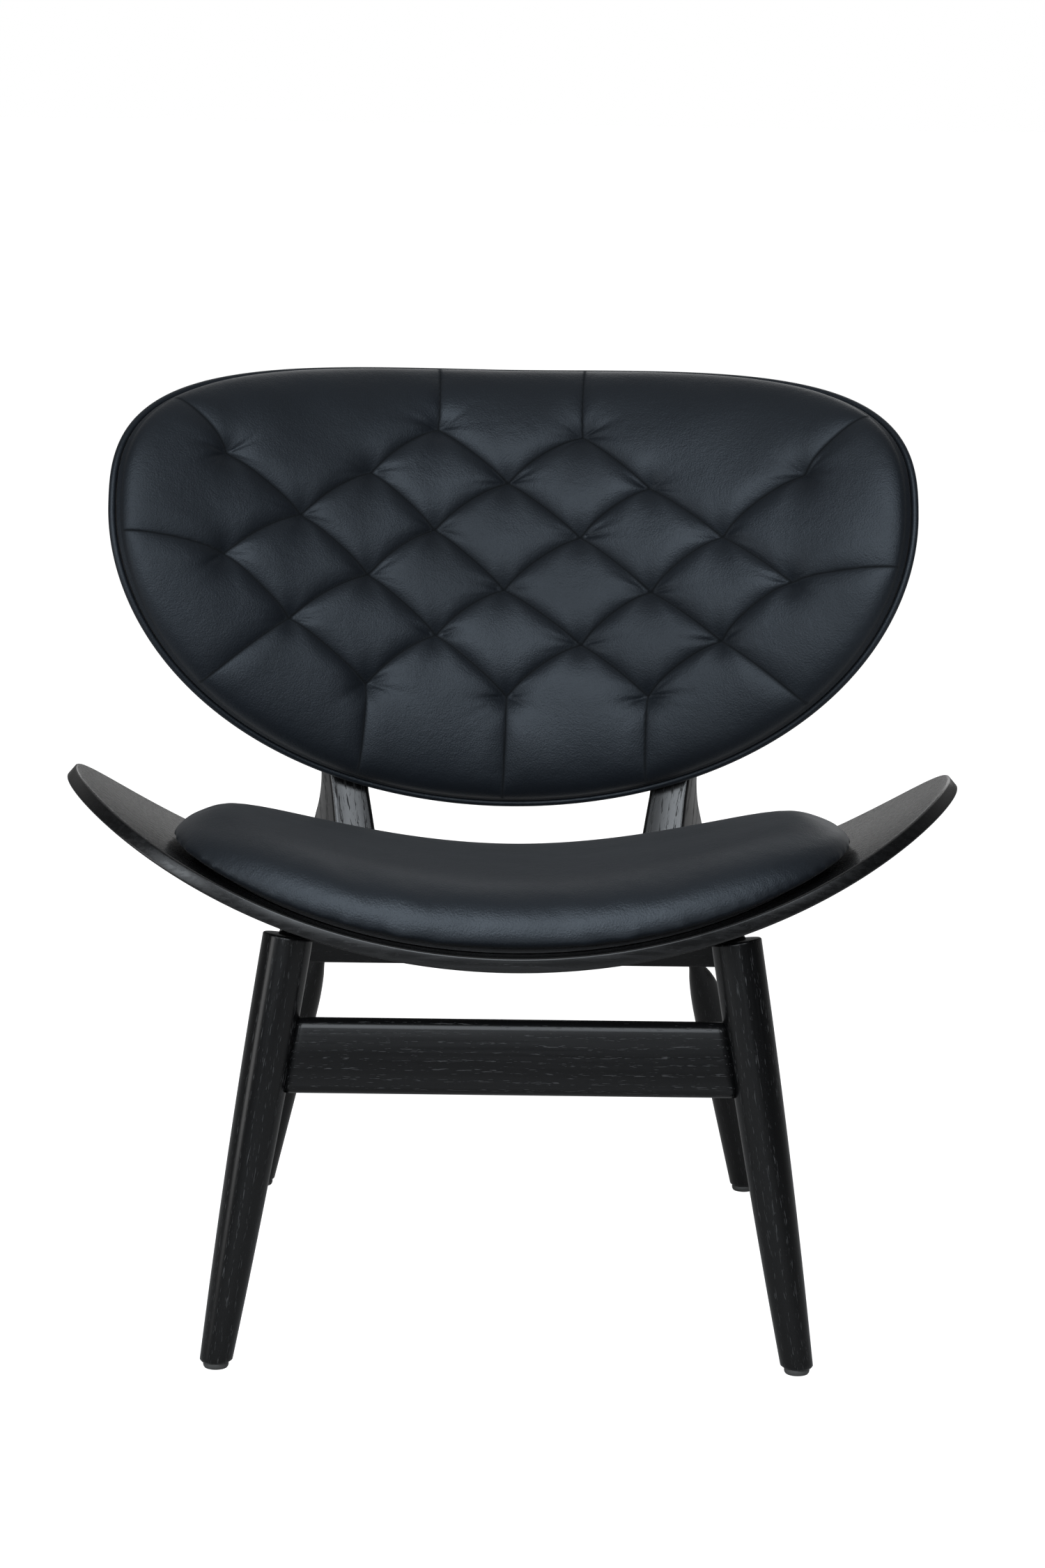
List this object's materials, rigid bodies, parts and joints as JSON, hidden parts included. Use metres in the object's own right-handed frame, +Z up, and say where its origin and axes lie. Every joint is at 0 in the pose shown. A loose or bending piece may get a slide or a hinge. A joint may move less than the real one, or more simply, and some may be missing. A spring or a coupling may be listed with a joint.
{
  "type": "tufted lounge chair",
  "caption": "Low lounge chair with a kidney-shaped tufted leather back, a crowned leather seat pad on a bent plywood shell with raised sides, and round splayed wooden legs.",
  "frame": {"origin": "on the floor, under the middle of the chair's bounding box", "axes": "+Z is up, -Y is the way the sitter faces, and +X is to the right as the chair is seen from the front, which is the sitter's left."},
  "size_m": [0.819, 0.6612, 0.8434],
  "materials": {
    "tufted_leather": "soft satin black upholstery leather, tufted",
    "seat_leather": "soft satin black upholstery leather, smooth",
    "piping_leather": "black leather piping",
    "cover_leather": "black leather, pulled flat over thin padding",
    "seat_plywood": "black-stained ash-faced moulded plywood, satin lacquer",
    "upright_wood": "black-stained ash, open grain, satin lacquer",
    "leg_wood": "black-stained ash, open grain, satin lacquer",
    "stretcher_wood": "black-stained ash, open grain, satin lacquer",
    "rail_wood": "black-stained ash, open grain, satin lacquer",
    "inner_plywood": "raw plywood, hidden by the upholstery",
    "dowel_wood": "raw beech",
    "fixing_steel": "zinc-plated",
    "glide_nylon": "grey moulded nylon",
    "spacer_rubber": "black moulded rubber"
  },
  "bodies": {
    "root": {"back_bolt_lower_left": "fixing_steel", "back_bolt_lower_right": "fixing_steel", "back_bolt_upper_left": "fixing_steel", "back_bolt_upper_right": "fixing_steel", "back_cover": "cover_leather", "back_insert_lower_left": "fixing_steel", "back_insert_lower_right": "fixing_steel", "back_insert_upper_left": "fixing_steel", "back_insert_upper_right": "fixing_steel", "back_pad": "tufted_leather", "back_piping": "piping_leather", "back_shell": "inner_plywood", "foot_bolt_lower_left": "fixing_steel", "foot_bolt_lower_right": "fixing_steel", "foot_bolt_upper_left": "fixing_steel", "foot_bolt_upper_right": "fixing_steel", "front_leg_left": "leg_wood", "front_leg_right": "leg_wood", "front_stretcher": "stretcher_wood", "glide_front_left": "glide_nylon", "glide_front_right": "glide_nylon", "glide_rear_left": "glide_nylon", "glide_rear_right": "glide_nylon", "rear_leg_left": "leg_wood", "rear_leg_right": "leg_wood", "rear_rail": "rail_wood", "seat_pad": "seat_leather", "seat_pad_board": "inner_plywood", "seat_pad_screw_front_left": "fixing_steel", "seat_pad_screw_front_right": "fixing_steel", "seat_pad_screw_rear_left": "fixing_steel", "seat_pad_screw_rear_right": "fixing_steel", "seat_shell": "seat_plywood", "shell_bolt_front_left": "fixing_steel", "shell_bolt_front_right": "fixing_steel", "shell_bolt_rear_left": "fixing_steel", "shell_bolt_rear_right": "fixing_steel", "shell_insert_front_left": "fixing_steel", "shell_insert_front_right": "fixing_steel", "shell_insert_rear_left": "fixing_steel", "shell_insert_rear_right": "fixing_steel", "shell_spacer_front_left": "spacer_rubber", "shell_spacer_front_right": "spacer_rubber", "shell_spacer_rear_left": "spacer_rubber", "shell_spacer_rear_right": "spacer_rubber", "side_rail_dowel_front_left": "dowel_wood", "side_rail_dowel_front_right": "dowel_wood", "side_rail_dowel_rear_left": "dowel_wood", "side_rail_dowel_rear_right": "dowel_wood", "side_rail_left": "rail_wood", "side_rail_right": "rail_wood", "stretcher_dowel_left_lower": "dowel_wood", "stretcher_dowel_left_upper": "dowel_wood", "stretcher_dowel_right_lower": "dowel_wood", "stretcher_dowel_right_upper": "dowel_wood", "upright_left": "upright_wood", "upright_right": "upright_wood"}
  },
  "joints": []
}
